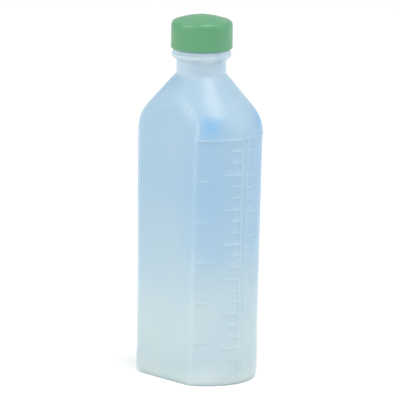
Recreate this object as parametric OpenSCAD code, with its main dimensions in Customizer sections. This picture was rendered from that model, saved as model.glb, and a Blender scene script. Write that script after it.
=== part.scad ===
// Graduated dispensing bottle with a screw cap and a sealing liner.
// Origin: centre of the standing face. +Z up. -Y and +Y are the flat sides, +X and -X the round ones.

/* [Body] */
// Width over the round sides, just under the shoulder
body_w = 58.5; // [48.5:0.5:70]
// How much narrower the round sides are at the base than under the shoulder
body_taper = 1.7; // [0.4:0.1:4]
// Radius of the round sides, seen from above
side_radius = 24.2; // [21:0.2:28]
// Distance between the two flat sides
body_depth = 40; // [32:0.2:42]
// Height at which the side and the shoulder would meet without their fillet
shoulder_z = 116.5; // [90:0.5:145]
// Rise of the shoulder from there to the neck
shoulder_rise = 19.4; // [16:0.2:26]
// Fillet radius between the side and the shoulder
shoulder_r = 15; // [8:0.5:18]
// Radius of the base edge on the round sides
foot_r = 2.5; // [1.5:0.5:5]
// Wall thickness of the blown body
wall = 1; // [0.6:0.1:1.4]

/* [Base] */
// Width of the standing face round the push-up
rest_w = 4.5; // [3:0.5:7]
// Depth of the push-up under the base
push_up = 1.6; // [0.8:0.1:3]
// Width of the slope at the push-up's edge
push_up_run = 2.5; // [1:0.5:4]

/* [Neck] */
// Outside diameter of the neck, between its threads
neck_d = 22; // [18:0.2:27]
// Wall thickness of the neck
neck_wall = 1.5; // [1:0.1:2]
// Straight length of the neck from the shoulder to the mouth
neck_len = 21; // [19:0.5:28]
// Size of the blend between the neck and the shoulder
neck_blend = 1.5; // [1:0.1:2.5]
// Rounding of the mouth's outer edge, and chamfer of its inner one
lip_r = 0.4; // [0.2:0.1:0.5]
// How far the collar under the cap stands out of the neck
collar_step = 2.3; // [1.6:0.1:4]
// How much narrower the collar is at its top
collar_lean = 0.4; // [0.1:0.1:0.8]
// Height of the collar
collar_h = 4.5; // [3:0.1:5]
// Gap between the collar and a closed cap
collar_gap = 0.5; // [0.3:0.1:1]

/* [Thread] */
// Rise of the thread in one turn
thread_pitch = 3.2; // [2.8:0.1:4]
// Turns of the ridge on the neck
neck_turns = 1.5; // [1:0.25:1.75]
// Turns of the ridge in the cap
cap_turns = 1.25; // [1:0.25:1.5]
// Height of the ridge on the neck over the neck's wall
thread_depth = 0.9; // [0.7:0.05:1.1]
// Width of a ridge where it joins its wall
ridge_root = 1.5; // [1.2:0.1:1.6]
// Width of a ridge at its crest
ridge_crest = 0.7; // [0.5:0.1:0.8]
// Clearance between a crest and the wall that it faces
crest_gap = 0.25; // [0.2:0.05:0.4]
// Axial clearance between the two ridges' loaded flanks
flank_gap = 0.15; // [0.1:0.05:0.25]
// Distance from the mouth down to the top of the neck's ridge
thread_drop = 1.6; // [1.2:0.1:2.5]
// Plain length of the neck between the ridge and the collar
plain_len = 2.5; // [2:0.1:5]

/* [Cap] */
// Wall thickness of the cap's skirt
cap_wall = 1.5; // [1:0.1:2.5]
// Thickness of the cap's top at its rim
cap_top = 1.6; // [1:0.1:2.4]
// Rise of the domed top over the rim
cap_dome = 2.1; // [0.4:0.1:3]
// Rounding of the cap's upper edge
cap_edge_r = 2.6; // [1:0.1:3]
// Chamfer inside the cap's open end
cap_lead_in = 0.5; // [0.2:0.1:0.8]

/* [Liner] */
// Thickness of the sealing liner
liner_t = 1.2; // [0.8:0.1:2]
// Radial gap between the liner and the cap's wall
liner_gap = 0.1; // [0.05:0.05:0.2]
// How far the bead that keeps the liner in stands out of the cap's wall
bead_depth = 0.4; // [0.3:0.05:0.6]

/* [Scale] */
// How far the moulded lines stand out of the body
line_relief = 0.25; // [0.1:0.05:0.4]
// How much prouder the frame's upright lines stand than the level ones
frame_extra = 0.06; // [0.04:0.02:0.2]
// Width of a moulded line
line_w = 0.7; // [0.4:0.1:1]
// Height of the zero line
scale_zero = 1.5; // [0.6:0.1:3]
// Distance of the full line under the shoulder
scale_drop = 6; // [5:0.5:30]
// Divisions of the volume scale, each of 10 ml
volume_marks = 20; // [10:1:30]
// Divisions of the fine dose scale
fine_marks = 21; // [12:3:30]
// Divisions of the coarse dose scale
coarse_marks = 6; // [3:1:9]
// A longer line at each of this many divisions of a dose scale
long_every = 3; // [2:1:5]
// Half the plain strip that the mould's parting line runs down
parting_gap = 1.6; // [1:0.1:3]
// Length of a volume line
volume_len = 7; // [4:0.5:9]
// Length of a short dose line
short_len = 5.2; // [3:0.2:6]
// Length of a long dose line
long_len = 9; // [7:0.2:10]

/* [Hidden] */

// Arc steps of a fillet, and steps of a thread ridge in one turn
ARC_STEPS = 8;
TURN_STEPS = 36;
// How deep a ridge, a line or a bead is rooted in the wall that it stands on
ROOT = 0.2;
// Steps over which a ridge rises from its end, and the share of its height where it starts
RUN_OUT = 4;
END_SHARE = 0.3;
// Room past a face that a cut runs through
PAST = 1;
// Thickness of the discs that a hull joins: each narrows towards the body's middle
SLICE = 0.1;
// Facets of the body's discs, and of everything that is turned
BODY_FACETS = 72;
TURN_FACETS = 180;
// Smallest fillet left at the foot of an inner wall
MIN_FILLET = 0.5;
// The neck's blend, in shares of its size: how far out, how far below the neck's foot, its root
BLEND_OUT = 0.7;
BLEND_LOW = 0.4;
BLEND_ROOT = 2;
// Rounding of the collar's edges, and the slope of its underside
COLLAR_EDGE = 0.6;
COLLAR_SLOPE = 0.45;

// The round sides are arcs about two upright axes at x = +side_x and x = -side_x
side_x = body_w / 2 - side_radius;
foot_w = body_w - body_taper;
foot_radius = foot_w / 2 - side_x;
scale_full = shoulder_z - scale_drop;
flat_y = body_depth / 2;
neck_r = neck_d / 2;
bore_r = neck_r - neck_wall;
neck_z = shoulder_z + shoulder_rise;
mouth_z = neck_z + neck_len;

// The cap is placed by the liner that it presses on the mouth
cap_in_r = neck_r + thread_depth + crest_gap;
cap_r = cap_in_r + cap_wall;
cap_roof_z = mouth_z + liner_t;
cap_rim_z = cap_roof_z + cap_top;
finish_len = thread_drop + neck_turns * thread_pitch + ridge_root + plain_len;
collar_top = mouth_z - finish_len;
skirt_z = collar_top + collar_gap;
crest_r = neck_r + crest_gap;

// Height of the neck ridge's centre line at its lower end
ridge_z = mouth_z - thread_drop - ridge_root / 2 - neck_turns * thread_pitch;
// The cap's ridge runs this far under the neck's, on the side that tightening loads
ridge_share = thread_depth / (thread_depth + crest_gap);
ridge_slope = (ridge_root - ridge_crest) / 2;
ridge_offset = ridge_root - ridge_slope * ridge_share + flank_gap;

// Radius of the round side about its own axis, at a height
function side_r(z) = foot_radius + (side_radius - foot_radius) * z / shoulder_z;

// Height of the shoulder's slope, moved in by an inset, at a half width
shoulder_run = body_w / 2 - neck_r;
slant = norm([shoulder_run, shoulder_rise]);
function slope_z(half_w, inset) =
    shoulder_z + ((body_w / 2 - half_w) * shoulder_rise - inset * slant) / shoulder_run;

// Points of a polyline with its corners rounded: each corner is [r, z, fillet radius]
function unit(v) = v / norm(v);
function xy(p) = [p[0], p[1]];
function rounded(c) = [for (i = [0:len(c) - 1])
    each (i == 0 || i == len(c) - 1 || c[i][2] == 0) ? [xy(c[i])]
        : fillet(xy(c[i - 1]), xy(c[i]), xy(c[i + 1]), c[i][2])];
function fillet(a, b, c, r) =
    let (u = unit(a - b), v = unit(c - b), half = acos(u * v) / 2,
         centre = b + unit(u + v) * r / sin(half), t = r / tan(half),
         p = b + u * t - centre, q = b + v * t - centre,
         side = sign(p[0] * q[1] - p[1] * q[0]), sweep = 180 - 2 * half)
    [for (k = [0:ARC_STEPS]) let (s = side * sweep * k / ARC_STEPS)
        centre + [p[0] * cos(s) - p[1] * sin(s), p[0] * sin(s) + p[1] * cos(s)]];

// The slab between the two flat faces, each moved in by an inset
module between_flats(inset) {
    w = body_w + 4 * PAST;
    h = mouth_z + 2 * PAST;
    translate([-w / 2, inset - flat_y, -PAST])
        cube([w, 2 * (flat_y - inset), h]);
}

// Half widths and heights of the body from its base to its shoulder, moved in by an inset.
// The shoulder runs on a little way inside the neck, so that the two cross at a clear angle.
function body_path(inset) =
    let (foot = foot_w / 2 - inset,
         corner = body_w / 2 - inset,
         top = neck_r - inset - PAST)
    rounded([
        [0, inset, 0],
        [foot, inset, max(foot_r - inset, MIN_FILLET)],
        [corner, slope_z(corner, inset), shoulder_r - inset],
        [top, slope_z(top, inset), 0]]);

// The body without its flats, moved in by an inset: round sides, base edge and shoulder.
// Each level is two discs, one about each side's axis. From the shoulder's fillet up, the axes
// close in on the middle, so the section turns from long to round.
module oval_body(inset) {
    path = body_path(inset);
    first = ARC_STEPS + 2;
    room = path[first][0] + inset - neck_r;
    hull() for (i = [1:len(path) - 1])
        let (w = path[i][0],
             z = path[i][1],
             x = side_x * (i < first ? 1 : max(0, w + inset - neck_r) / room))
        for (side = [-1, 1]) translate([side * x, 0, z]) mirror([0, 0, i < first ? 0 : 1])
            cylinder(r1 = w - x, r2 = w - x - SLICE, h = SLICE, $fn = BODY_FACETS);
}

module neck_outside() {
    collar_bottom = collar_top - collar_h;
    collar_r = neck_r + collar_step;
    blend_r = neck_r + BLEND_OUT * neck_blend;
    rotate_extrude($fn = TURN_FACETS) polygon(rounded([
        [0, neck_z - BLEND_ROOT * neck_blend, 0],
        [blend_r, neck_z - BLEND_ROOT * neck_blend, 0],
        [blend_r, neck_z - BLEND_LOW * neck_blend, 0],
        [neck_r, neck_z + neck_blend, 0],
        [neck_r, collar_bottom, 0],
        [collar_r, collar_bottom + COLLAR_SLOPE * collar_step, COLLAR_EDGE],
        [collar_r - collar_lean, collar_top, COLLAR_EDGE],
        [neck_r, collar_top, 0],
        [neck_r, mouth_z, lip_r],
        [0, mouth_z, 0]]));
}

// The neck's bore, down to where the shoulder's inside is wider, with the mouth's chamfer
module neck_inside() {
    low = slope_z(bore_r, wall) - 2 * PAST;
    rotate_extrude($fn = TURN_FACETS) polygon([
        [0, low],
        [bore_r, low],
        [bore_r, mouth_z - lip_r],
        [bore_r + lip_r + PAST, mouth_z + PAST],
        [0, mouth_z + PAST]]);
}

// The space under the base, grown on all sides: round with two flats, like the body
module base_recess(grow) {
    low_r = foot_radius - rest_w + grow;
    top_r = low_r - push_up_run;
    half_w = flat_y - rest_w + grow;
    intersection() {
        for (side = [-1, 1]) translate([side * side_x, 0, 0]) rotate_extrude($fn = TURN_FACETS) polygon([
            [0, -PAST], [low_r, -PAST], [low_r, 0], [top_r, push_up + grow], [0, push_up + grow]]);
        rotate([90, 0, 90]) translate([0, 0, -body_w / 2]) linear_extrude(body_w) polygon([
            [-half_w, -PAST], [half_w, -PAST], [half_w, 0],
            [half_w - push_up_run, push_up + grow], [push_up_run - half_w, push_up + grow],
            [-half_w, 0]]);
    }
}

// A ridge that climbs a right-hand helix: a trapezium from the root's radius to the crest's
module thread_ridge(wall_r, crest, z0, turns) {
    steps = ceil(turns * TURN_STEPS);
    way = sign(crest - wall_r);
    ring = [for (i = [0:steps])
        let (a = 360 * i / TURN_STEPS,
             z = z0 + thread_pitch * i / TURN_STEPS,
             share = min(1, END_SHARE + (1 - END_SHARE) * min(i, steps - i) / RUN_OUT),
             tip = wall_r + (crest - wall_r) * share,
             foot = wall_r - way * ROOT,
             half_root = ridge_root / 2 + ROOT * ridge_slope / abs(crest - wall_r),
             half_tip = ridge_root / 2 - ridge_slope * share)
        each [for (p = [[foot, -half_root], [tip, -half_tip], [tip, half_tip], [foot, half_root]])
            [p[0] * cos(a), p[0] * sin(a), z + p[1]]]];
    sides = [for (i = [0:steps - 1], k = [0:3])
        let (a = 4 * i + k, b = 4 * i + (k + 1) % 4)
        each way > 0 ? [[a, b, b + 4], [a, b + 4, a + 4]] : [[a, b + 4, b], [a, a + 4, b + 4]]];
    last = 4 * steps;
    ends = way > 0 ? [[3, 2, 1, 0], [last, last + 1, last + 2, last + 3]]
        : [[0, 1, 2, 3], [last + 3, last + 2, last + 1, last]];
    polyhedron(points = ring, faces = concat(sides, ends));
}

// A level line round the +X side at a height, between two arc positions in mm from its middle
module level_line(z, from, to) {
    r = side_r(z);
    a = 180 / PI / r;
    translate([side_x, 0, 0]) rotate([0, 0, from * a])
        rotate_extrude(angle = (to - from) * a, $fn = TURN_FACETS)
            translate([r - ROOT, z - line_w / 2]) square([ROOT + line_relief, line_w]);
}

// An upright line from the base edge to a height, at an arc position in mm from the side's middle
module upright_line(at, top) {
    low = side_r(foot_r);
    high = side_r(top);
    out = line_relief + frame_extra;
    a = 180 / PI / low;
    translate([side_x, 0, 0]) rotate([0, 0, (at - line_w / 2) * a])
        rotate_extrude(angle = line_w * a, $fn = TURN_FACETS)
            polygon([[low - ROOT, foot_r], [low + out, foot_r], [high + out, top], [high - ROOT, top]]);
}

// Arc position of the upright edge where the round side meets the -Y flat
function corner_arc(z) = -asin(min(1, flat_y / side_r(z))) * PI / 180 * side_r(z);

module moulded_scale() {
    span = scale_full - scale_zero;
    edge = line_w / 2;
    for (side = [-1, 1]) upright_line(side * parting_gap, scale_full + 2 * edge);
    level_line(scale_full, corner_arc(scale_full) - edge, -parting_gap);
    level_line(scale_full, parting_gap, edge - corner_arc(scale_full));
    for (i = [1:volume_marks - 1])
        level_line(scale_zero + span * i / volume_marks, parting_gap, parting_gap + volume_len);
    for (i = [1:fine_marks - 1])
        level_line(scale_zero + span * i / fine_marks,
            -parting_gap - (i % long_every == 0 ? long_len : short_len), -parting_gap);
    for (i = [1:coarse_marks - 1])
        let (z = scale_zero + span * i / coarse_marks, corner = corner_arc(z))
        level_line(z, corner - edge, corner + (i % long_every == 0 ? long_len : short_len));
}

module bottle() {
    color([0.66, 0.80, 0.90]) difference() {
        union() {
            intersection() {
                union() {
                    oval_body(0);
                    moulded_scale();
                }
                between_flats(0);
            }
            neck_outside();
            thread_ridge(neck_r, neck_r + thread_depth, ridge_z, neck_turns);
        }
        difference() {
            intersection() {
                oval_body(wall);
                between_flats(wall);
            }
            base_recess(wall);
        }
        neck_inside();
        base_recess(0);
    }
}

module cap() {
    // The dome is an arc over the rim: its sphere's radius follows from its rise
    top_r = cap_r - cap_edge_r;
    dome_r = (pow(top_r, 2) + pow(cap_dome, 2)) / (2 * cap_dome);
    dome_span = asin(top_r / dome_r);
    bead_z = mouth_z - bead_depth;
    color([0.43, 0.67, 0.51]) union() {
        rotate_extrude($fn = TURN_FACETS) polygon(concat(
            rounded([
                [0, cap_roof_z, 0],
                [cap_in_r, cap_roof_z, 0],
                [cap_in_r, mouth_z, 0],
                [cap_in_r - bead_depth, bead_z, 0],
                [cap_in_r, bead_z - bead_depth, 0],
                [cap_in_r, skirt_z + cap_lead_in, 0],
                [cap_in_r + cap_lead_in, skirt_z, 0],
                [cap_r, skirt_z, 0],
                [cap_r, cap_rim_z, cap_edge_r],
                [top_r, cap_rim_z, 0]]),
            [for (k = [1:ARC_STEPS]) let (a = dome_span * (1 - k / ARC_STEPS))
                [dome_r * sin(a), cap_rim_z + cap_dome - dome_r * (1 - cos(a))]]));
        thread_ridge(cap_in_r, crest_r, ridge_z - ridge_offset, cap_turns);
    }
}

module cap_liner() {
    color([0.93, 0.93, 0.90]) translate([0, 0, mouth_z])
        cylinder(r = cap_in_r - liner_gap, h = liner_t, $fn = TURN_FACETS);
}

bottle();
cap();
cap_liner();
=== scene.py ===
"""A graduated dispensing bottle with a lined screw cap, dressed and lit for a studio picture.

The bottle, the cap and the liner are closed surfaces worked out ring by ring with numpy, in
millimetres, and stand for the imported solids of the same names. Heights and radii where the
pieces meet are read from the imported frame.
"""
import logging
import math
from dataclasses import dataclass, field
from enum import Enum

import bpy
import numpy as np
from mathutils import Matrix, Vector


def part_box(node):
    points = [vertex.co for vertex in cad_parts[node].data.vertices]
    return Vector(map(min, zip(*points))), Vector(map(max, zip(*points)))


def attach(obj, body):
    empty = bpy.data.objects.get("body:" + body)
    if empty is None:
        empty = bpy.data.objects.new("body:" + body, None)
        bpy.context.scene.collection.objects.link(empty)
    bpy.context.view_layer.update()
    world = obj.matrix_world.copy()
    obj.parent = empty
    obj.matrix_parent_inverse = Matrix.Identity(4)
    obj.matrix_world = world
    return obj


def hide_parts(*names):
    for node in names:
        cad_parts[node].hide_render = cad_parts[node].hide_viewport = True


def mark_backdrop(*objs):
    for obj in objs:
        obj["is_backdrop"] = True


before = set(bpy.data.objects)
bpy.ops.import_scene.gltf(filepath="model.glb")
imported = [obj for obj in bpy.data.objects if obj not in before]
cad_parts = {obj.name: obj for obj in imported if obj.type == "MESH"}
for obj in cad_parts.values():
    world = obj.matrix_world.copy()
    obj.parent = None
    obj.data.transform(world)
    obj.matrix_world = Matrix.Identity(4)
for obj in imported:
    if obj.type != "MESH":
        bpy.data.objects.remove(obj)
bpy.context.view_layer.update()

LOG = logging.getLogger("bottle")
MM = 0.001
FULL_TURN = 2 * math.pi


# Shapes

class Side(Enum):
    """Which of the two moulded frames a scale line belongs to, by its sign along the arc."""

    DOSE = -1
    VOLUME = 1


@dataclass
class Rings:
    """A stack of closed rings that follow one another along a profile, all in millimetres.

    Each ring is the smaller of an ellipse and a pair of flats, blended at the corners.
    """

    half_x: np.ndarray
    half_y: np.ndarray
    flat: np.ndarray
    sharp: np.ndarray
    height: np.ndarray

    def outlines(self, angle: np.ndarray) -> tuple[np.ndarray, np.ndarray]:
        """Radii of the ellipse and of the flats, before they are blended.

        Args:
            angle: angles from +X, in radians, one per column.

        Returns:
            The ellipse's radii and the flats' radii, each rings by columns.
        """
        along = np.cos(angle)[None, :]
        across = np.abs(np.sin(angle))[None, :]
        oval = 1 / np.sqrt(
            (along / np.maximum(self.half_x, 1e-9)[:, None]) ** 2
            + (across / np.maximum(self.half_y, 1e-9)[:, None]) ** 2
        )
        return oval, self.flat[:, None] / np.maximum(across, 1e-3)

    def crease(self, angle: np.ndarray, width: float, past: np.ndarray) -> np.ndarray:
        """Is 1 where the ellipse lies a distance past the flats, and falls off as a bell.

        Args:
            angle: angles from +X, in radians, one per column.
            width: the bell's half width in millimetres.
            past: the distance in millimetres, one per ring.

        Returns:
            An array of rings by columns.
        """
        oval, flats = self.outlines(angle)
        return np.exp(-((oval - flats - past[:, None]) / width) ** 2)

    def radius(self, angle: np.ndarray) -> np.ndarray:
        """Radius of every ring at every angle.

        The ellipse's radius is 1 / sqrt((cos a / x)^2 + (sin a / y)^2) and the flats' is
        f / |sin a|. Their soft minimum is the p-norm (e^-p + f^-p)^(-1/p), where a larger p
        makes a sharper corner.

        Args:
            angle: angles from +X, in radians, one per column.

        Returns:
            An array of rings by columns.
        """
        oval, flats = self.outlines(angle)
        low = np.minimum(oval, flats)
        power = self.sharp[:, None]
        return low * ((low / oval) ** power + (low / flats) ** power) ** (-1 / power)


def rounded_path(corners: list[tuple[float, float, float]], steps: int = 8) -> np.ndarray:
    """Runs along straight lines between corners, with an arc of the given radius at each.

    Args:
        corners: (half width, height, arc radius) in millimetres, in order.
        steps: how many pieces each arc is divided into.

    Returns:
        Points of the path as an array of (half width, height).
    """
    points = [np.array(corners[0][:2])]
    for before, here, after in zip(corners, corners[1:], corners[2:]):
        corner = np.array(here[:2])
        if here[2] <= 0:
            points.append(corner)
            continue
        back = np.array(before[:2]) - corner
        on = np.array(after[:2]) - corner
        back /= np.linalg.norm(back)
        on /= np.linalg.norm(on)
        half = math.acos(float(np.clip(back @ on, -1, 1))) / 2
        middle = back + on
        centre = corner + middle / np.linalg.norm(middle) * here[2] / math.sin(half)
        start = corner + back * here[2] / math.tan(half) - centre
        end = corner + on * here[2] / math.tan(half) - centre
        turn = math.copysign(math.pi - 2 * half, start[0] * end[1] - start[1] * end[0])
        for t in np.linspace(0, turn, steps + 1):
            spin = np.array([[math.cos(t), -math.sin(t)], [math.sin(t), math.cos(t)]])
            points.append(centre + spin @ start)
    points.append(np.array(corners[-1][:2]))
    return np.array(points)


def refine(path: np.ndarray, longest: float) -> np.ndarray:
    """Divides each step of a path so that none is longer than a given length.

    Args:
        path: points of (half width, height).
        longest: the longest step to leave, in millimetres.

    Returns:
        The path with points added on its straight stretches.
    """
    pieces = [path[:1]]
    for start, end in zip(path, path[1:]):
        count = max(1, math.ceil(np.linalg.norm(end - start) / longest))
        share = np.linspace(0, 1, count + 1)[1:, None]
        pieces.append(start + (end - start) * share)
    return np.vstack(pieces)


def smooth_step(value: np.ndarray) -> np.ndarray:
    """Eases from 0 to 1 as 3 t^2 - 2 t^3, with t held between 0 and 1."""
    t = np.clip(value, 0, 1)
    return t * t * (3 - 2 * t)


def wrapped(angle: np.ndarray) -> np.ndarray:
    """Brings angles in radians into the range from -pi to pi."""
    return np.angle(np.exp(1j * angle))


def bell(value: np.ndarray, middle: float, width: float) -> np.ndarray:
    """Is 1 at a value and falls off on both sides, to 1/e at a width from it."""
    return np.exp(-((value - middle) / width) ** 2)


def merge_close(values: np.ndarray, gap: float) -> np.ndarray:
    """Sorts values and drops any that lies too close to the one before it.

    Args:
        values: the values, in any order.
        gap: the distance at which a value is dropped.

    Returns:
        The values that are left, rising.
    """
    ordered = np.sort(values)
    keep = np.concatenate([[True], np.diff(ordered) > gap])
    return ordered[keep]


def band(value: np.ndarray, low: float, high: float, bevel: float) -> np.ndarray:
    """Is 1 between two values and 0 outside them, with an eased bevel at each end."""
    return smooth_step((value - low) / bevel + 0.5) * smooth_step((high - value) / bevel + 0.5)


def helix_ridge(
    angle: np.ndarray, height: np.ndarray, start: float, pitch: float, turns: float,
    root: float, crest: float,
) -> np.ndarray:
    """How high a thread's ridge stands at each point, from 0 to 1.

    A right-hand helix climbs one pitch a turn. The turn that lies nearest to a point is found
    by rounding, and the ridge is a trapezium across it that fades in and out at its ends.

    Args:
        angle: angles from +X in radians, one per column.
        height: heights in millimetres, one per ring.
        start: height of the ridge's middle where it begins, at angle 0.
        pitch: rise of one turn.
        turns: how far the ridge runs.
        root: width of the ridge at its wall.
        crest: width of the ridge at its top.

    Returns:
        An array of rings by columns.
    """
    share = (np.mod(angle, FULL_TURN) / FULL_TURN)[None, :]
    along = (height[:, None] - start) / pitch
    turn = share + np.clip(np.round(along - share), 0, math.ceil(turns))
    turn = np.where(turn > turns, turn - 1, turn)
    off = np.abs(height[:, None] - start - turn * pitch)
    rise = np.clip((root / 2 - off) / ((root - crest) / 2), 0, 1)
    fade = 8  # the ridge fades over an eighth of a turn
    ends = smooth_step(turn * fade) * smooth_step((turns - turn) * fade)
    return rise * ends * (turn >= 0)


def ring_mesh(
    name: str, radius: np.ndarray, angle: np.ndarray, height: np.ndarray,
    marks: dict[str, np.ndarray] | None = None,
) -> bpy.types.Object:
    """Makes a closed mesh of rings, with a pole at each end of the stack.

    A vertex lies at (r cos a, r sin a, z). Neighbouring rings are joined by quads and each end
    is closed by a fan round one vertex on the axis.

    Args:
        name: name of the object and its mesh.
        radius: radii in millimetres, rings by columns, from the outer pole to the inner one.
        angle: angles in radians, one per column, rising.
        height: heights in millimetres, rings by columns.
        marks: values from 0 to 1 for a finish to read, rings by columns, by attribute name.

    Returns:
        The object, with its place in its mesh.
    """
    rings, columns = radius.shape
    ring_points = np.stack([radius * np.cos(angle), radius * np.sin(angle), height], -1)
    poles = np.array([[0, 0, height[0].mean()], [0, 0, height[-1].mean()]])
    points = np.vstack([ring_points.reshape(-1, 3), poles]) * MM
    grid = np.arange(rings * columns).reshape(rings, columns)
    following = np.roll(grid, -1, axis=1)
    quads = np.stack([grid[:-1], following[:-1], following[1:], grid[1:]], -1).reshape(-1, 4)
    first, last = rings * columns, rings * columns + 1
    bottom = np.stack([np.full(columns, first), following[0], grid[0]], -1)
    top = np.stack([np.full(columns, last), grid[-1], following[-1]], -1)
    mesh = bpy.data.meshes.new(name)
    mesh.from_pydata(points.tolist(), [], quads.tolist() + bottom.tolist() + top.tolist())
    mesh.validate()
    mesh.polygons.foreach_set("use_smooth", np.ones(len(mesh.polygons), bool))
    for mark, value in (marks or {}).items():
        layer = mesh.attributes.new(mark, "FLOAT", "POINT")
        layer.data.foreach_set("value", np.append(value.ravel(), [0, 0]).astype(np.float32))
    mesh.update()
    piece = bpy.data.objects.new(name, mesh)
    bpy.context.scene.collection.objects.link(piece)
    return piece


# Finishes

def linear(code: str) -> tuple[float, float, float, float]:
    """Turns an sRGB hex colour into the linear colour that a shader takes.

    Args:
        code: six hex digits, with or without a leading hash.

    Returns:
        Linear red, green and blue, and an alpha of 1.
    """
    digits = code.lstrip("#")
    values = [int(digits[i:i + 2], 16) / 255 for i in (0, 2, 4)]
    light = [v / 12.92 if v <= 0.04045 else ((v + 0.055) / 1.055) ** 2.4 for v in values]
    return (*light, 1.0)


def add_node(
    tree: bpy.types.NodeTree, kind: str, settings: dict | None = None,
    links: dict | None = None,
) -> bpy.types.Node:
    """Adds a node, sets it up and links what feeds it.

    Args:
        tree: the node tree to add to.
        kind: the node's type, such as ShaderNodeTexNoise.
        settings: values by name. A name with a capital, or a number, is an input socket, and
            any other is a property of the node.
        links: output sockets by the input socket that each one feeds.

    Returns:
        The new node.
    """
    node = tree.nodes.new(kind)
    for name, value in (settings or {}).items():
        if isinstance(name, int) or name[0].isupper():
            node.inputs[name].default_value = value
        else:
            setattr(node, name, value)
    for name, source in (links or {}).items():
        tree.links.new(source, node.inputs[name])
    return node


def per_metre(size_mm: float) -> float:
    """Scale of a texture on Object coordinates whose features are this many millimetres wide."""
    return 1 / (size_mm * MM)


@dataclass(frozen=True)
class Finish:
    """What every finish has: a name and a way to make a material."""

    name: str

    def start(self) -> tuple[bpy.types.Material, bpy.types.NodeTree]:
        """Makes an empty node material of this finish's name.

        Returns:
            The material and its node tree.
        """
        material = bpy.data.materials.new(self.name)
        material.use_nodes = True
        material.node_tree.nodes.clear()
        return material, material.node_tree


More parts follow.
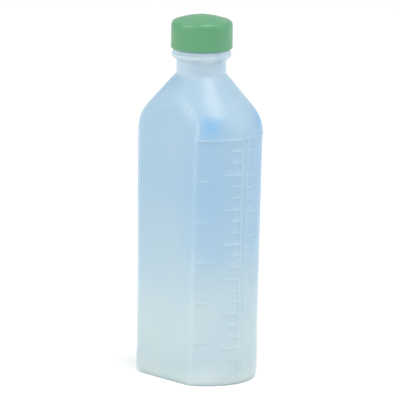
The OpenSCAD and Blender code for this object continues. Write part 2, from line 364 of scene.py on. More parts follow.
@dataclass(frozen=True)
class BlowMouldedPolyethylene(Finish):
    """Thin natural polyethylene with a blue tint, blown against a satin mould.

    Its crystals scatter light, so the wall glows softly and hides most of what is behind it, and
    only its skin shines. Lines in relief hold more scattering plastic, so they look paler. The
    paler corners and heel are painted highlights, the paler collar, neck and base are painted
    light, and the deeper blue under the shoulder is painted shade. IOR 1.51, roughness about
    0.3 from a blasted mould.
    """

    tint: str = "#C6DBE6"
    # Painted light: the low and foot tints pale the lower wall as the floor's glow would
    tint_low: str = "#E0EAEA"
    tint_foot: str = "#E6EFE9"
    # The deep blue below is painted shade under the shoulder
    tint_shade: str = "#9CCAEE"
    # Pale colour of the lines, and of the painted highlights and painted light
    pale: str = "#F2F9FB"
    see_through: float = 0.3
    roughness: float = 0.28
    grain_mm: float = 0.5
    cloud_mm: float = 26.0
    fill_mm: float = 7.0
    low_mm: float = 8.0
    high_mm: float = 88.0
    foot_low_mm: float = 2.0
    foot_high_mm: float = 8.0
    grain_depth_mm: float = 0.05
    clear: str = "#E4EFF5"

    def tinted(self, tree: bpy.types.NodeTree, place: bpy.types.Node) -> bpy.types.NodeSocket:
        """Colour of the wall: paler towards the base as painted light, deeper in random drifts
        and, as painted shade, under the shoulder, and pale on the lines and the painted
        highlights.

        Args:
            tree: the material's nodes.
            place: the node that gives Object coordinates.

        Returns:
            The colour's output socket.
        """
        # The wall is uneven where the hot tube stretched, so its tint drifts over centimetres
        cloud = add_node(tree, "ShaderNodeTexNoise", {
            "Scale": per_metre(self.cloud_mm), "Detail": 2.0, "Roughness": 0.45,
        }, {"Vector": place.outputs["Object"]})
        parts = add_node(tree, "ShaderNodeSeparateXYZ", {}, {"Vector": place.outputs["Object"]})
        # Painted light: the wall pales towards the base, as if lit by the floor's glow
        up = add_node(tree, "ShaderNodeMapRange", {
            "interpolation_type": "SMOOTHSTEP",
            "From Min": self.low_mm * MM, "From Max": self.high_mm * MM,
        }, {"Value": parts.outputs["Z"]})
        by_height = add_node(tree, "ShaderNodeMix", {
            "data_type": "RGBA", 6: linear(self.tint_low), 7: linear(self.tint),
        }, {0: up.outputs["Result"]})
        # Painted light: a warmer, paler rim at the foot, for the base and the bright floor seen
        # through the wall
        foot = add_node(tree, "ShaderNodeMapRange", {
            "interpolation_type": "SMOOTHSTEP",
            "From Min": self.foot_low_mm * MM, "From Max": self.foot_high_mm * MM,
        }, {"Value": parts.outputs["Z"]})
        body = add_node(tree, "ShaderNodeMix", {
            "data_type": "RGBA", 6: linear(self.tint_foot),
        }, {0: foot.outputs["Result"], 7: by_height.outputs[2]})
        # Painted shade: a deeper blue under the shoulder, added to the random drift
        shoulder_shade = add_node(tree, "ShaderNodeAttribute", {"attribute_name": "shoulder_shade"})
        drift = add_node(tree, "ShaderNodeMapRange", {
            "From Min": 0.35, "From Max": 0.8, "To Max": 0.2,
        }, {"Value": cloud.outputs["Fac"]})
        deep = add_node(tree, "ShaderNodeMath", {"operation": "ADD", "use_clamp": True}, {
            0: shoulder_shade.outputs["Fac"], 1: drift.outputs["Result"],
        })
        deeper = add_node(tree, "ShaderNodeMix", {
            "data_type": "RGBA", 7: linear(self.tint_shade),
        }, {0: deep.outputs["Value"], 6: body.outputs[2]})
        # Painted light: noise varies how strongly the pale marks show from stretch to stretch, as
        # the lines catch the light unevenly
        lines_and_painted_light = add_node(tree, "ShaderNodeAttribute", {"attribute_name": "lines_and_painted_light"})
        uneven_catch = add_node(tree, "ShaderNodeTexNoise", {
            "Scale": per_metre(self.fill_mm), "Detail": 1.0,
        }, {"Vector": place.outputs["Object"]})
        share = add_node(tree, "ShaderNodeMapRange", {
            "From Min": 0.3, "From Max": 0.7, "To Min": 0.5, "To Max": 1.1,
        }, {"Value": uneven_catch.outputs["Fac"]})
        shown = add_node(tree, "ShaderNodeMath", {"operation": "MULTIPLY"}, {
            0: lines_and_painted_light.outputs["Fac"], 1: share.outputs["Result"],
        })
        paler = add_node(tree, "ShaderNodeMix", {
            "data_type": "RGBA", 7: linear(self.pale),
        }, {0: shown.outputs["Value"], 6: deeper.outputs[2]})
        return paler.outputs[2]

    def build(self) -> bpy.types.Material:
        """Mixes a milky body, which lets light through from both sides, with a clear share.

        Returns:
            The material.
        """
        material, tree = self.start()
        place = add_node(tree, "ShaderNodeTexCoord")
        tint = self.tinted(tree, place)
        # Grain of the blasted mould, drawn coarser than its real 0.1 mm so that it shows
        grain = add_node(tree, "ShaderNodeTexNoise", {
            "Scale": per_metre(self.grain_mm), "Detail": 3.0, "Roughness": 0.6,
        }, {"Vector": place.outputs["Object"]})
        bump = add_node(tree, "ShaderNodeBump", {
            "Strength": 0.12, "Distance": self.grain_depth_mm * MM,
        }, {"Height": grain.outputs["Fac"]})
        gloss = add_node(tree, "ShaderNodeMapRange", {
            "From Min": 0.3, "From Max": 0.7,
            "To Min": self.roughness - 0.03, "To Max": self.roughness + 0.05,
        }, {"Value": grain.outputs["Fac"]})
        skin = add_node(tree, "ShaderNodeBsdfPrincipled", {
            "IOR": 1.51,
        }, {
            "Base Color": tint, "Roughness": gloss.outputs["Result"],
            "Normal": bump.outputs["Normal"],
        })
        glow = add_node(tree, "ShaderNodeBsdfTranslucent", {}, {
            "Color": tint, "Normal": bump.outputs["Normal"],
        })
        milky = add_node(tree, "ShaderNodeMixShader", {0: 0.45}, {
            1: skin.outputs[0], 2: glow.outputs[0],
        })
        clear = add_node(tree, "ShaderNodeBsdfTransparent", {"Color": linear(self.clear)})
        wall = add_node(tree, "ShaderNodeMixShader", {0: self.see_through}, {
            1: milky.outputs[0], 2: clear.outputs[0],
        })
        add_node(tree, "ShaderNodeOutputMaterial", {}, {"Surface": wall.outputs[0]})
        return material


@dataclass(frozen=True)
class MouldedPolypropylene(Finish):
    """Green polypropylene, injection moulded in a polished tool: an even satin sheen.

    IOR 1.49, roughness about 0.3, with faint flow marks round the gate in the top.
    """

    colour: str = "#518C64"
    deep: str = "#468661"
    roughness: float = 0.34
    flow_mm: float = 9.0
    grain_mm: float = 0.4
    grain_depth_mm: float = 0.04

    def build(self) -> bpy.types.Material:
        """Makes the coloured plastic with a slight drift of colour and gloss.

        Returns:
            The material.
        """
        material, tree = self.start()
        place = add_node(tree, "ShaderNodeTexCoord")
        flow = add_node(tree, "ShaderNodeTexNoise", {
            "Scale": per_metre(self.flow_mm), "Detail": 2.0, "Distortion": 0.6,
        }, {"Vector": place.outputs["Object"]})
        colour = add_node(tree, "ShaderNodeMix", {
            "data_type": "RGBA", 6: linear(self.colour), 7: linear(self.deep),
        }, {0: flow.outputs["Fac"]})
        grain = add_node(tree, "ShaderNodeTexNoise", {
            "Scale": per_metre(self.grain_mm), "Detail": 2.0,
        }, {"Vector": place.outputs["Object"]})
        bump = add_node(tree, "ShaderNodeBump", {
            "Strength": 0.15, "Distance": self.grain_depth_mm * MM,
        }, {"Height": grain.outputs["Fac"]})
        gloss = add_node(tree, "ShaderNodeMapRange", {
            "From Min": 0.3, "From Max": 0.7,
            "To Min": self.roughness - 0.04, "To Max": self.roughness + 0.06,
        }, {"Value": flow.outputs["Fac"]})
        plastic = add_node(tree, "ShaderNodeBsdfPrincipled", {
            "IOR": 1.49, "Subsurface Weight": 0.15, "Subsurface Radius": (0.4, 1.0, 0.5),
            "Subsurface Scale": 1 * MM,
        }, {
            "Base Color": colour.outputs[2], "Roughness": gloss.outputs["Result"],
            "Normal": bump.outputs["Normal"],
        })
        add_node(tree, "ShaderNodeOutputMaterial", {}, {"Surface": plastic.outputs[0]})
        return material


@dataclass(frozen=True)
class FoamedPolyethylene(Finish):
    """White closed-cell polyethylene foam between two skins: matt, with cells just visible."""

    colour: str = "#EDEDE6"
    cell_colour: str = "#DCDDD6"
    cell_mm: float = 0.35
    cell_depth_mm: float = 0.06
    roughness: float = 0.7

    def build(self) -> bpy.types.Material:
        """Makes the foam with its cells as a shallow relief.

        Returns:
            The material.
        """
        material, tree = self.start()
        place = add_node(tree, "ShaderNodeTexCoord")
        cells = add_node(tree, "ShaderNodeTexVoronoi", {
            "Scale": per_metre(self.cell_mm),
        }, {"Vector": place.outputs["Object"]})
        colour = add_node(tree, "ShaderNodeMix", {
            "data_type": "RGBA", 6: linear(self.colour), 7: linear(self.cell_colour),
        }, {0: cells.outputs["Distance"]})
        bump = add_node(tree, "ShaderNodeBump", {
            "Strength": 0.3, "Distance": self.cell_depth_mm * MM,
        }, {"Height": cells.outputs["Distance"]})
        foam = add_node(tree, "ShaderNodeBsdfPrincipled", {
            "IOR": 1.5, "Roughness": self.roughness,
        }, {"Base Color": colour.outputs[2], "Normal": bump.outputs["Normal"]})
        add_node(tree, "ShaderNodeOutputMaterial", {}, {"Surface": foam.outputs[0]})
        return material


@dataclass(frozen=True)
class BackdropPaper(Finish):
    """Matt white studio paper, with the slight tooth of its fibres."""

    colour: str = "#FBFBFB"
    fibre_mm: float = 1.2
    fibre_depth_mm: float = 0.1

    def build(self) -> bpy.types.Material:
        """Makes the paper as a rough white with a faint grain.

        Returns:
            The material.
        """
        material, tree = self.start()
        place = add_node(tree, "ShaderNodeTexCoord")
        fibre = add_node(tree, "ShaderNodeTexNoise", {
            "Scale": per_metre(self.fibre_mm), "Detail": 3.0,
        }, {"Vector": place.outputs["Object"]})
        bump = add_node(tree, "ShaderNodeBump", {
            "Strength": 0.05, "Distance": self.fibre_depth_mm * MM,
        }, {"Height": fibre.outputs["Fac"]})
        paper = add_node(tree, "ShaderNodeBsdfPrincipled", {
            "Base Color": linear(self.colour), "Roughness": 0.9,
        }, {"Normal": bump.outputs["Normal"]})
        add_node(tree, "ShaderNodeOutputMaterial", {}, {"Surface": paper.outputs[0]})
        return material


# Pieces

@dataclass
class Thread:
    """The screw thread's sizes, in millimetres, shared by the neck and the cap."""

    pitch: float = 3.2
    neck_turns: float = 1.5
    cap_turns: float = 1.25
    depth: float = 0.9
    root: float = 1.5
    crest: float = 0.7
    crest_gap: float = 0.25
    flank_gap: float = 0.15
    drop: float = 1.6

    def neck_start(self, mouth: float) -> float:
        """Height of the neck ridge's middle at its lower end."""
        return mouth - self.drop - self.root / 2 - self.neck_turns * self.pitch

    def cap_start(self, mouth: float) -> float:
        """Height of the cap ridge's middle at its lower end, just under the neck's ridge.

        The two flanks slope alike, so the offset is a root's width, less the slope that their
        overlap in depth leaves, plus the flank's gap.

        Args:
            mouth: height of the mouth in millimetres.

        Returns:
            The height in millimetres.
        """
        share = self.depth / (self.depth + self.crest_gap)
        offset = self.root - (self.root - self.crest) / 2 * share + self.flank_gap
        return self.neck_start(mouth) - offset


@dataclass
class MouldedScale:
    """The lines moulded in relief on the +X side. Arc positions are in millimetres from its
    middle.
    """

    zero: float = 1.5
    full: float = 110.5
    foot: float = 3.0
    width: float = 0.6
    relief: float = 0.3
    bevel: float = 0.22
    gap: float = 1.6
    volume_marks: int = 20
    fine_marks: int = 21
    coarse_marks: int = 6
    long_every: int = 3
    volume_len: float = 7.0
    short_len: float = 5.2
    long_len: float = 9.0
    corner: float = 22.6

    def level_lines(self) -> list[tuple[float, float, float]]:
        """Every level line, as its height and the arc positions of its two ends.

        Returns:
            The full line of each frame, then the volume, fine dose and coarse dose divisions.
        """
        span = self.full - self.zero

        def divided(count: int) -> list[tuple[int, float]]:
            """Numbers and heights of the divisions between the zero and the full line."""
            return [(i, self.zero + span * i / count) for i in range(1, count)]

        def dose_len(i: int) -> float:
            """Length of a dose line: each third one is long."""
            return self.long_len if i % self.long_every == 0 else self.short_len

        edge, gap = self.corner, self.gap
        lines = [(self.full, -edge, -gap), (self.full, gap, edge)]
        lines += [(z, gap, gap + self.volume_len) for _, z in divided(self.volume_marks)]
        lines += [(z, -gap - dose_len(i), -gap) for i, z in divided(self.fine_marks)]
        lines += [(z, -edge, -edge + dose_len(i)) for i, z in divided(self.coarse_marks)]
        return lines

    def ring_heights(self) -> np.ndarray:
        """Heights at which rings are needed to carry the level lines' two bevels.

        Returns:
            Four heights for each line, in the lines' order.
        """
        middles = np.array([line[0] for line in self.level_lines()])
        edge, half = self.width / 2, self.bevel / 2
        offsets = np.array([-edge - half, -edge + half, edge - half, edge + half])
        return (middles[:, None] + offsets).ravel()

    def column_arcs(self) -> np.ndarray:
        """Arc positions at which columns are needed to carry the lines' ends and the uprights.

        Returns:
            Two positions for each end and each edge of an upright.
        """
        edge, half = self.width / 2, self.bevel / 2
        uprights = [s * self.gap + o for s in (-1, 1) for o in (-edge, edge)]
        ends = sorted({round(end, 4) for line in self.level_lines() for end in line[1:]})
        return np.array([a + o for a in uprights + ends for o in (-half, half)])

    def height_of(self, arc: np.ndarray, height: np.ndarray) -> np.ndarray:
        """How far the lines stand out at each point, in millimetres.

        Each line is a band in height times a band along the arc, and where lines cross the
        higher one counts.

        Args:
            arc: arc positions, one per column.
            height: heights, one per ring.

        Returns:
            An array of rings by columns.
        """
        edge = self.width / 2
        out = np.zeros((len(height), len(arc)))
        for z, start, end in self.level_lines():
            line = band(height, z - edge, z + edge, self.bevel)[:, None]
            out = np.maximum(out, line * band(arc, start, end, self.bevel)[None, :])
        for side in Side:
            middle = side.value * self.gap
            across = band(arc, middle - edge, middle + edge, self.bevel)
            up = band(height, self.foot, self.full + edge, self.bevel)
            out = np.maximum(out, up[:, None] * across[None, :])
        return out * self.relief


@dataclass
class Bottle:
    """The blow-moulded bottle: one closed surface, outside and inside. Sizes in millimetres."""

    finish: Finish
    thread: Thread = field(default_factory=Thread)
    scale: MouldedScale = field(default_factory=MouldedScale)
    half_width: float = 29.25
    foot_half: float = 28.4
    bulge: float = 26.2
    shoulder_z: float = 116.5
    neck_z: float = 135.9
    shoulder_r: float = 15.3
    neck_r: float = 11.0
    neck_fillet: float = 2.2
    foot_r: float = 2.6
    flat_edge: float = 0.8
    wall: float = 1.0
    neck_wall: float = 1.5
    collar_r: float = 13.3
    collar_h: float = 4.5
    collar_lean: float = 0.4
    bead_top: float = 3.0
    finish_len: float = 10.4
    lip_r: float = 0.45
    rest_w: float = 4.5
    push_up: float = 1.6
    push_up_run: float = 2.5
    side_r: float = 24.2
    corner_x: float = 19.4
    corner_sharp: float = 62.0
    shoulder_sharp: float = 30.0
    panel_sink: float = 0.3
    wander: float = 0.05
    seam_rise: float = 0.06
    scar_depth: float = 0.25
    even_step: float = 3.0
    corner_step: float = 0.6
    corner_reach: float = 5.0
    ring_step: float = 2.5
    inner_step: float = 5.0
    thread_step: float = 0.2
    # Pale and deep marks: painted highlights on creases and heel, painted light on collar, neck
    # and foot, painted shade under the shoulder, and the lines' own paleness
    crease_w: float = 0.75
    crease_highlight: float = 0.19
    band_out: float = 3.0
    band_in: float = 1.5
    line_pale: float = 0.45
    collar_pale: float = 0.95
    neck_pale: float = 0.6
    foot_pale: float = 0.3
    heel_highlight: float = 0.6
    heel_z: float = 6.0
    # Painted shade sits under the shoulder at this angle; the heel's painted highlight shares it
    painted_spot_angle: float = math.radians(33)
    shade_spread: float = math.radians(13)
    shade_rise: float = 4.5
    shade_rest: float = 0.32

    def __post_init__(self) -> None:
        """Takes the mouth's height and the flat sides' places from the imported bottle's box."""
        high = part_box("bottle")[1]
        self.mouth = high.z / MM
        self.half_depth = high.y / MM

    def angles(self) -> np.ndarray:
        """Columns of the bottle: even, then closer at the four corners and the scale's ends.

        Returns:
            Angles from +X in radians, rising.
        """
        even = np.radians(np.arange(0, 360, self.even_step))
        corner = math.atan2(self.half_depth, self.corner_x)
        reach = self.corner_reach
        near = np.radians(np.arange(-reach, reach + 0.1, self.corner_step))
        corners = [near + a for a in (corner, math.pi - corner, math.pi + corner, -corner)]
        arcs = self.scale.column_arcs() / self.side_r
        side_x = self.half_width - self.side_r
        marks = np.arctan2(self.side_r * np.sin(arcs), side_x + self.side_r * np.cos(arcs))
        seam = np.radians([-0.6, -0.2, 0.2, 0.6])
        exact = np.mod(np.concatenate([marks, seam, seam + math.pi]), FULL_TURN)
        loose = np.mod(np.concatenate([even, *corners]), FULL_TURN)
        room = np.abs(wrapped(loose[:, None] - exact[None, :])).min(1)
        return merge_close(np.concatenate([exact, loose[room > math.radians(0.25)]]), 1e-3)

    def outer_path(self) -> np.ndarray:
        """Draws the outside in half section, from the foot's edge to the mouth.

        Returns:
            Points of (half width, height) in millimetres.
        """
        mouth = self.mouth
        collar_top = mouth - self.finish_len
        collar_low = collar_top - self.collar_h
        return rounded_path([
            (self.foot_half - self.foot_r, 0, 0),
            (self.foot_half, 0, self.foot_r * 0.99),
            (self.half_width, self.shoulder_z, self.shoulder_r),
            (self.neck_r, self.neck_z, self.neck_fillet),
            (self.neck_r, collar_low - 0.3, 0.4),
            (self.collar_r, collar_low + 1.6, 0.6),
            (self.collar_r, collar_low + self.bead_top, 0.35),
            (self.collar_r - 1.3 * self.collar_lean, collar_low + self.bead_top + 0.25, 0.15),
            (self.collar_r - 1.1 * self.collar_lean, collar_top, 0.4),
            (self.neck_r, collar_top + 0.1, 0.25),
            (self.neck_r, mouth, self.lip_r),
            (self.neck_r - self.neck_wall / 2, mouth, 0),
        ])

    def build(self) -> bpy.types.Object:
        """Builds the outside from the base's middle up, and the inside back down.

        Returns:
            The finished piece.
        """
        angle = self.angles()
        outside, out_height, marks = self.outside(angle)
        inside, in_height = self.inside(angle)
        radius = np.vstack([outside, inside])
        height = np.vstack([out_height, in_height])
        marks = {name: np.vstack([value, np.zeros_like(inside)]) for name, value in marks.items()}
        piece = ring_mesh("bottle_wall", radius, angle, height, marks)
        piece.data.materials.append(self.finish.build())
        return piece

    def section(self, half_w: np.ndarray, height: np.ndarray, inset: float) -> Rings:
        """Rings of the body for half widths and heights, set in by the width of a wall.

        The half depth of the ellipse falls from the bulge to the neck's radius in step with the
        half width, so the section turns from long to round up the shoulder.

        Args:
            half_w: half widths, one per ring.
            height: heights, one per ring.
            inset: how far inside the outer wall the rings lie.

        Returns:
            The rings.
        """
        neck, full = self.neck_r - inset, self.half_width - inset
        rise = np.clip((half_w - neck) / (full - neck), 0, None)
        half_y = np.where(half_w > neck, neck + rise * (self.bulge - inset - neck), half_w)
        soft = smooth_step((height - self.shoulder_z + 14) / 16)
        return Rings(
            half_x=half_w, half_y=half_y,
            flat=np.full_like(half_w, self.half_depth - inset),
            sharp=self.corner_sharp + (self.shoulder_sharp - self.corner_sharp) * soft,
            height=height,
        )

    def drift(self, angle: np.ndarray, height: np.ndarray) -> np.ndarray:
        """How far the blown wall wanders inwards: the sum of three slow waves, all below 0.

        Args:
            angle: the columns' angles.
            height: the rings' heights.

        Returns:
            An array of rings by columns, in millimetres.
        """
        a, z = angle[None, :], height[:, None]
        waves = (
            np.sin(2 * a + z / 19 + 0.7) + 0.7 * np.sin(3 * a - z / 13 + 2.1)
            + 0.5 * np.sin(5 * a + z / 8.5 + 4.0)
        )
        fade = smooth_step((height - 4) / 10) * smooth_step((self.neck_z - height) / 14)
        highest = 1 + 0.7 + 0.5  # the waves' crests together, so the wall only sinks
        return self.wander * (waves - highest) * fade[:, None]

    def panel(self, angle: np.ndarray, height: np.ndarray) -> np.ndarray:
        """How far the two flat panels sink: most at their middle, and nothing at their edges.

        Args:
            angle: the columns' angles.
            height: the rings' heights.

        Returns:
            An array of rings by columns, in millimetres, below 0.
        """
        across = np.abs(np.sin(angle))
        middle = smooth_step((across - 0.72) / 0.28)[None, :]
        up = smooth_step((height - 6) / 30) * smooth_step((self.shoulder_z + 4 - height) / 25)
        return -self.panel_sink * middle * up[:, None]

    def outside(
        self, angle: np.ndarray,
    ) -> tuple[np.ndarray, np.ndarray, dict[str, np.ndarray]]:
        """Works out the rings from the base's middle to the mouth's rim.

        Args:
            angle: the columns' angles.

        Returns:
            Radii, heights and marks, each rings by columns.
        """
        base_r, base_z = self.base(angle, 0.0)
        path = refine(self.outer_path(), self.ring_step)
        low, high = self.foot_r + 0.2, self.scale.full + 1
        on_side = (path[:, 1] > low) & (path[:, 1] < high) & (path[:, 0] > self.foot_half - 0.1)
        wanted = self.scale.ring_heights()
        wanted = merge_close(wanted[(wanted > low) & (wanted < high)], 0.02)
        room = np.abs(path[:, 1][:, None] - wanted[None, :]).min(1)
        path = path[~on_side | (room > 0.35)]
        side_w = np.interp(wanted, [0, self.shoulder_z], [self.foot_half, self.half_width])
        start = int(np.argmax(path[:, 1] > low))
        end = int(np.argmax((path[:, 1] >= high) & (np.arange(len(path)) > start)))
        side = np.vstack([path[start:end], np.stack([side_w, wanted], -1)])
        side = side[np.argsort(side[:, 1])]
        mouth = self.mouth
        collar_top = mouth - self.finish_len
        path = np.vstack([path[:start], side, path[end:]])
        path = self.add_finish_rows(path, collar_top + 0.6, mouth - 1.0)
        half_w, height = path[:, 0], path[:, 1]
        rings = self.section(half_w, height, 0.0)
        edge = np.clip(1 - height / self.foot_r, 0, 1)
        rings.flat = rings.flat - self.flat_edge * edge * edge
        radius = rings.radius(angle)
        lines = self.scale.height_of(self.arc_of(angle), height)
        radius += lines
        radius += self.drift(angle, height) + self.panel(angle, height)
        radius += self.seam(angle, height)
        ridge = helix_ridge(
            angle, height, self.thread.neck_start(mouth), self.thread.pitch,
            self.thread.neck_turns, self.thread.root, self.thread.crest,
        )
        radius += ridge * self.thread.depth * (height > collar_top)[:, None]
        tall = np.broadcast_to(height[:, None], radius.shape)
        # Marks for the finish: pale lines with painted highlights and painted light, and painted
        # shade under the shoulder
        marks = {
            "lines_and_painted_light": self.paleness(rings, angle, lines),
            "shoulder_shade": self.painted_shoulder_shade(angle, height),
        }
        marks = {name: np.vstack([base_r * 0, value[1:]]) for name, value in marks.items()}
        return np.vstack([base_r, radius[1:]]), np.vstack([base_z, tall[1:]]), marks

    def paleness(self, rings: Rings, angle: np.ndarray, lines: np.ndarray) -> np.ndarray:
        """How pale the wall looks, from 0 to 1: on the scale's lines, and as painted light and
        painted highlights on the creases, collar, neck, foot and heel.

        Up the shoulder the crease's painted highlight widens into a band, whose two edges are the
        pale lines, and it is brightest at the shoulder's knee. Near the foot a soft painted
        highlight sits beside the corners.

        Args:
            rings: the outside's rings.
            angle: the columns' angles.
            lines: how far the scale's lines stand out, rings by columns.

        Returns:
            An array of rings by columns.
        """
        height = rings.height
        body = smooth_step((height - 4) / 8) * smooth_step((self.neck_z - 4 - height) / 8)
        # Painted highlight along the rounded corners and the shoulder's arch, brightest at the
        # knee
        rise = smooth_step((height - self.shoulder_z + 8) / 14)
        outer = rings.crease(angle, self.crease_w, -self.band_out * rise)
        inner = rings.crease(angle, self.crease_w, self.band_in * rise)
        knee_highlight = bell(height, self.shoulder_z - 2, 5)
        edges = np.maximum(outer * (1 + 0.6 * rise + 1.3 * knee_highlight)[:, None], 0.6 * inner)
        crease = edges * body[:, None] * self.crease_highlight
        # Painted light: the collar's bead, the neck and the foot are lightened against their
        # shade
        top = self.mouth - self.finish_len
        low = top - self.collar_h
        collar = band(height, low - 0.3, low + self.bead_top - 0.1, 0.3)
        neck = smooth_step((height - self.neck_z + 2) / 3)
        foot = smooth_step((9 - height) / 6)
        painted_light = self.collar_pale * collar + self.neck_pale * neck * (1 - collar)
        painted_light = np.maximum(painted_light, self.foot_pale * foot)[:, None]
        # Painted highlight: a soft bright spot low on the heel, beside the corners
        near = bell(np.abs(wrapped(angle)), self.painted_spot_angle, 0.2)
        heel_spot = bell(height, self.heel_z, 3)
        painted_light = painted_light + self.heel_highlight * heel_spot[:, None] * near[None, :]
        faint = 0.3 + 0.7 * smooth_step((height - 15) / 40)
        drawn = lines / self.scale.relief * self.line_pale * faint[:, None]
        return np.maximum(np.maximum(drawn, crease), painted_light)

    def painted_shoulder_shade(self, angle: np.ndarray, height: np.ndarray) -> np.ndarray:
        """Painted shade, from 0 to 1: a deeper blue, most under the shoulder, near the scale's
        corners.

        Args:
            angle: the columns' angles.
            height: the rings' heights.

        Returns:
            An array of rings by columns.
        """
        # Painted shade: a patch under the shoulder and a fainter strip down the body beside it
        off = np.abs(wrapped(angle))
        around = bell(off, self.painted_spot_angle, self.shade_spread)
        up = bell(height, self.shoulder_z + 0.3, self.shade_rise)
        rest = self.shade_rest * bell(off, self.painted_spot_angle, 1.7 * self.shade_spread)
        lower = smooth_step((height - 30) / 60) * smooth_step((self.shoulder_z - height) / 6)
        return up[:, None] * around[None, :] + lower[:, None] * rest[None, :]

    def add_finish_rows(self, path: np.ndarray, low: float, high: float) -> np.ndarray:
        """Puts rings on the finish, close enough together to carry the thread.

        Args:
            path: points of (half width, height).
            low: height of the first new ring.
            high: height that the new rings stay under.

        Returns:
            The path with the new points between those two heights.
        """
        rows = np.arange(low, high, self.thread_step)
        keep = (path[:, 1] <= low - 0.05) | (path[:, 1] >= high + 0.05)
        start = int(np.argmax(path[:, 1] >= high + 0.05))
        extra = np.stack([np.full_like(rows, self.neck_r), rows], -1)
        before = path[:start][keep[:start]]
        return np.vstack([before, extra, path[start:]])

    def arc_of(self, angle: np.ndarray) -> np.ndarray:
        """Arc position of each column on the +X side, in mm, or a far one elsewhere.

        The side is an arc about its own axis. A ray from the bottle's middle at angle a meets it
        where its own angle b has side_x sin a = side_r sin (b - a).

        Args:
            angle: the columns' angles.

        Returns:
            One position per column.
        """
        side_x = self.half_width - self.side_r
        ray = wrapped(angle)
        own = ray + np.arcsin(side_x * np.sin(ray) / self.side_r)
        far = 1e3
        return np.where(np.abs(ray) < math.pi / 2, own * self.side_r, far)

    def seam(self, angle: np.ndarray, height: np.ndarray) -> np.ndarray:
        """The mould's parting line: a fine ridge down the middle of both round sides.

        Args:
            angle: the columns' angles.
            height: the rings' heights.

        Returns:
            How far it stands out in millimetres, rings by columns.
        """
        off = np.abs(wrapped(2 * angle)) / 2
        line = smooth_step((math.radians(0.6) - off) / math.radians(0.4))
        up = smooth_step((height - 1.0) / 2) * smooth_step((self.neck_z + 4 - height) / 3)
        return self.seam_rise * line[None, :] * up[:, None]

    def base(self, angle: np.ndarray, lift: float) -> tuple[np.ndarray, np.ndarray]:
        """Rings from the base's middle to the foot's edge, moved up by a given lift.

        The inset from the foot's outline falls from the push-up to the standing face, and the
        height eases from the push-up's depth to 0 over the run. A pinch-off scar runs along X.

        Args:
            angle: the columns' angles.
            lift: how far the rings lie above and inside the underside.

        Returns:
            Radii and heights, rings by columns.
        """
        soften = 0.6
        middle_rings, slope_rings, rest_rings = 10, 12, 5
        deep = self.rest_w + self.push_up_run + soften
        flat = self.rest_w - soften
        outer = self.foot_r - lift
        inset = np.concatenate([
            np.full(middle_rings, deep), np.linspace(deep, flat, slope_rings)[1:],
            np.linspace(flat, outer, rest_rings)[1:],
        ])
        shrink = np.ones_like(inset)
        shrink[:middle_rings] = np.linspace(0.06, 1, middle_rings)
        ease = smooth_step((inset - flat) / (deep - flat))
        edge_in = self.flat_edge if lift == 0 else 0.3
        flat_in = np.where(inset > flat, inset, np.interp(inset, [outer, flat], [edge_in, flat]))
        rings = Rings(
            half_x=self.foot_half - lift - inset, half_y=self.bulge - 0.85 - lift - inset,
            flat=self.half_depth - lift - flat_in,
            sharp=np.full_like(inset, self.corner_sharp * 0.5), height=ease,
        )
        radius = rings.radius(angle) * shrink[:, None]
        height = np.broadcast_to((self.push_up * ease + lift)[:, None], radius.shape).copy()
        if lift == 0:
            across = np.abs(radius * np.sin(angle))
            reach = np.abs(radius * np.cos(angle))
            ends = self.foot_half - deep - 0.9
            scar = band(across, -1, 0.35, 0.3) * band(reach, -1, ends, 2)
            height -= self.scar_depth * scar * (height > 0.5)
        return radius, height

    def inside(self, angle: np.ndarray) -> tuple[np.ndarray, np.ndarray]:
        """Works out the rings from the mouth's rim to the middle of the floor.

        Args:
            angle: the columns' angles.

        Returns:
            Radii and heights, each rings by columns.
        """
        mouth = self.mouth
        bore = self.neck_r - self.neck_wall
        slope = np.array([self.neck_r - self.half_width, self.neck_z - self.shoulder_z])
        slant = float(np.linalg.norm(slope))

        def slope_z(half_w: float) -> float:
            """Height of the inner shoulder's slope at a half width."""
            rise = (self.half_width - half_w) * slope[1] - self.wall * slant
            return self.shoulder_z + rise / -slope[0]

        corner = self.half_width - self.wall
        foot = self.foot_half - self.wall
        path = rounded_path([
            (bore + self.neck_wall / 2 - 0.05, mouth, 0),
            (bore, mouth, self.lip_r),
            (bore, slope_z(bore), 3.0),
            (corner, slope_z(corner), self.shoulder_r - self.wall),
            (foot, self.wall, 1.5),
            (self.foot_half - self.foot_r, self.wall, 0),
        ], 7)
        path = refine(path, self.inner_step)
        half_w, height = path[:, 0], path[:, 1]
        radius = self.section(half_w, height, self.wall).radius(angle)
        radius += self.drift(angle, height) + self.panel(angle, height)
        floor_r, floor_z = self.base(angle, self.wall)
        tall = np.broadcast_to(height[:, None], radius.shape)
        return (
            np.vstack([radius[:-1], floor_r[::-1]]),
            np.vstack([tall[:-1], floor_z[::-1]]),
        )


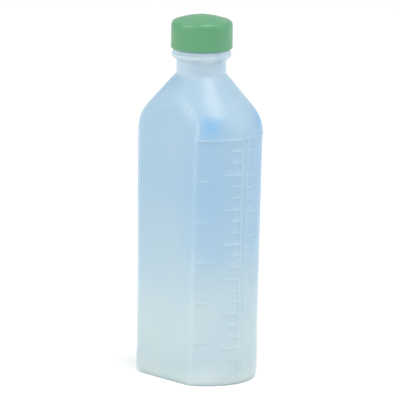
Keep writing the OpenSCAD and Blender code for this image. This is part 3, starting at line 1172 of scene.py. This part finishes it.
@dataclass
class Cap:
    """The injection-moulded screw cap: a domed shell with its thread and liner bead."""

    finish: Finish
    thread: Thread = field(default_factory=Thread)
    neck_r: float = 11.0
    top: float = 1.6
    edge_r: float = 2.6
    draft: float = 0.12
    lead_in: float = 0.5
    bead: float = 0.4
    gate_r: float = 1.3
    gate_depth: float = 0.18
    thread_step: float = 0.2
    column_step: float = 2.5

    def build(self) -> bpy.types.Object:
        """Builds the shell from the dome's middle round its rim to the middle of its roof.

        The dome is an arc over the rim. The wall leans in by the draft towards the top.

        Returns:
            The finished piece.
        """
        low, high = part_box("cap")
        skirt, crown, outer = low.z / MM, high.z / MM, high.x / MM
        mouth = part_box("cap_liner")[0].z / MM
        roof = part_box("cap_liner")[1].z / MM
        rim = roof + self.top
        bore = self.neck_r + self.thread.depth + self.thread.crest_gap
        flat_r = outer - self.edge_r
        dome_r = (flat_r**2 + (crown - rim) ** 2) / (2 * (crown - rim))
        sweep = np.linspace(0.02, 1, 22) * math.asin(flat_r / dome_r)
        dome = np.stack([dome_r * np.sin(sweep), crown - dome_r * (1 - np.cos(sweep))], -1)
        tilt = math.atan2(crown - rim, flat_r) * 2
        shell = rounded_path([
            (flat_r, rim, 0),
            (outer - self.draft, rim + math.tan(tilt) * 0.02, self.edge_r * 0.93),
            (outer, skirt, 0.6),
            (bore + self.lead_in, skirt, 0.2),
            (bore, skirt + self.lead_in * 1.4, 0),
        ], 9)
        first, last = skirt + self.lead_in * 1.4 + 0.2, mouth - self.bead * 2 - 0.1
        rows = np.arange(first, last, self.thread_step)
        wall = np.stack([np.full_like(rows, bore), rows], -1)
        inner = rounded_path([
            (bore, mouth - 2 * self.bead, 0),
            (bore - self.bead, mouth - self.bead, 0.15),
            (bore, mouth, 0),
            (bore, roof, 0.3),
            (0.3, roof, 0),
        ], 5)
        path = np.vstack([dome, refine(shell[1:], 1.5), wall, refine(inner, 1.5)])
        angle = np.radians(np.arange(0, 360, self.column_step))
        radius = np.repeat(path[:, :1], len(angle), axis=1)
        height = np.repeat(path[:, 1:], len(angle), axis=1)
        on_wall = (np.abs(path[:, 0] - bore) < 1e-6) & (path[:, 1] < mouth - self.bead)
        ridge = helix_ridge(
            angle, path[:, 1], self.thread.cap_start(mouth), self.thread.pitch,
            self.thread.cap_turns, self.thread.root, self.thread.crest,
        )
        radius -= ridge * self.thread.depth * on_wall[:, None]
        on_top = (path[:, 1] > rim - 0.5)[:, None]
        height -= self.gate_depth * (1 - smooth_step((radius - self.gate_r) / 0.5)) * on_top
        piece = ring_mesh("cap_shell", radius[::-1], angle, height[::-1])
        piece.data.materials.append(self.finish.build())
        return piece


@dataclass
class Liner:
    """The foamed disc in the cap, with a soft edge and the mouth's print on its underside."""

    finish: Finish
    edge_r: float = 0.25
    print_r: float = 10.3
    print_w: float = 1.2
    print_depth: float = 0.06
    column_step: float = 4.0

    def build(self) -> bpy.types.Object:
        """Builds the disc from the middle of its underside, round its edge, to its top.

        Returns:
            The finished piece.
        """
        low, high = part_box("cap_liner")
        bottom, top, outer = low.z / MM, high.z / MM, high.x / MM
        path = refine(rounded_path([
            (0.3, bottom, 0),
            (outer, bottom, self.edge_r),
            (outer, top, self.edge_r),
            (0.3, top, 0),
        ], 5), 0.5)
        angle = np.radians(np.arange(0, 360, self.column_step))
        radius = np.repeat(path[:, :1], len(angle), axis=1)
        height = np.repeat(path[:, 1:], len(angle), axis=1)
        under = (path[:, 1] < (bottom + top) / 2)[:, None]
        half = self.print_w / 2
        mark = band(radius, self.print_r - half, self.print_r + half, 0.3)
        height += self.print_depth * mark * under
        piece = ring_mesh("liner_disc", radius, angle, height)
        piece.data.materials.append(self.finish.build())
        return piece


# Studio

@dataclass
class Studio:
    """The paper floor, the soft lights and the camera."""

    finish: Finish
    azimuth: float = math.radians(47.2)
    elevation: float = math.radians(11.6)
    distance: float = 2.046
    lens: float = 415.6
    roll: float = math.radians(0.97)
    aim_z: float = 0.0786
    aim_right: float = 0.0004
    floor_half: float = 6.0
    lights_aim_z: float = 0.08

    def build_floor(self) -> bpy.types.Object:
        """Makes a wide sheet of paper for the bottle to stand on, facing up.

        Returns:
            The floor.
        """
        half = self.floor_half
        mesh = bpy.data.meshes.new("paper_floor")
        mesh.from_pydata(
            [(-half, -half, 0), (half, -half, 0), (half, half, 0), (-half, half, 0)],
            [], [(0, 1, 2, 3)],
        )
        floor = bpy.data.objects.new("paper_floor", mesh)
        bpy.context.scene.collection.objects.link(floor)
        mesh.materials.append(self.finish.build())
        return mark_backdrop(floor)

    def towards(self, azimuth: float, elevation: float) -> Vector:
        """Direction from the bottle to a place round it.

        Args:
            azimuth: radians round the bottle, from -Y towards +X.
            elevation: radians above the floor.

        Returns:
            A vector one metre long.
        """
        return Vector((
            math.sin(azimuth) * math.cos(elevation),
            -math.cos(azimuth) * math.cos(elevation),
            math.sin(elevation),
        ))

    def build_camera(self) -> bpy.types.Object:
        """Puts the camera at the viewing angle, with the bottle's slight lean in the frame.

        Returns:
            The camera.
        """
        right = Vector((math.cos(self.azimuth), math.sin(self.azimuth), 0))
        aim = Vector((0, 0, self.aim_z)) + right * self.aim_right
        way = self.towards(self.azimuth, self.elevation)
        camera = bpy.data.objects.new("camera", bpy.data.cameras.new("camera"))
        camera.data.lens = self.lens
        camera.data.sensor_width = 36.0
        camera.data.clip_end = 50.0
        turn = way.to_track_quat("Z", "Y").to_matrix().to_4x4()
        place = Matrix.Translation(aim + way * self.distance)
        camera.matrix_world = place @ turn @ Matrix.Rotation(self.roll, 4, "Z")
        bpy.context.scene.collection.objects.link(camera)
        bpy.context.scene.camera = camera
        return camera

    def add_light(
        self, name: str, azimuth: float, elevation: float, distance: float, size: float,
        power: float, colour: str,
    ) -> bpy.types.Object:
        """Adds a square soft light that faces the bottle.

        Args:
            name: the light's name.
            azimuth: degrees round the bottle, from -Y towards +X.
            elevation: degrees above the floor.
            distance: metres from the bottle.
            size: the square's side in metres.
            power: watts.
            colour: sRGB hex.

        Returns:
            The light.
        """
        data = bpy.data.lights.new(name, "AREA")
        data.size = size
        data.energy = power
        data.color = linear(colour)[:3]
        light = bpy.data.objects.new(name, data)
        way = self.towards(math.radians(azimuth), math.radians(elevation))
        turn = way.to_track_quat("Z", "Y").to_matrix().to_4x4()
        aim = Vector((0, 0, self.lights_aim_z))
        light.matrix_world = Matrix.Translation(aim + way * distance) @ turn
        bpy.context.scene.collection.objects.link(light)
        return light

    def build_light(self) -> None:
        """Sets a bright even surround, a large key from the left, a fill and a top light."""
        world = bpy.data.worlds.new("surround")
        world.use_nodes = True
        sky = world.node_tree.nodes["Background"]
        sky.inputs["Color"].default_value = linear("#F4F8FC")
        sky.inputs["Strength"].default_value = 0.82
        bpy.context.scene.world = world
        bpy.context.scene.view_settings.view_transform = "Standard"
        self.add_light("key", -10, 35, 1.6, 1.0, 14, "#FFF8EE")
        self.add_light("fill", 125, 25, 1.8, 1.2, 10, "#EEF4FA")
        self.add_light("top", 95, 72, 1.2, 0.5, 8.5, "#FFEBDD")


def main() -> None:
    """Builds the bottle, its cap and liner, and the studio round them."""
    logging.basicConfig(level=logging.INFO, format="%(name)s: %(message)s")
    studio = Studio(BackdropPaper("Matt white studio paper"))
    studio.build_camera()
    bottle = Bottle(BlowMouldedPolyethylene("Blow-moulded polyethylene, pale blue"))
    cap = Cap(MouldedPolypropylene("Injection-moulded polypropylene, green"))
    liner = Liner(FoamedPolyethylene("Foamed polyethylene, white"))
    builds = (
        (bottle, "bottle", "bottle", "bottle_plastic"),
        (cap, "cap", "cap", "cap_plastic"),
        (liner, "cap_liner", "liner", "liner_foam"),
    )
    for maker, node, body, slot in builds:
        piece = maker.build()
        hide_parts(node)
        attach(piece, body)
        triangles = sum(len(p.vertices) - 2 for p in piece.data.polygons)
        LOG.info("%s: %d triangles, rides on %s", piece.name, triangles, body)
    studio.build_floor()
    studio.build_light()


if __name__ == "__main__":
    main()
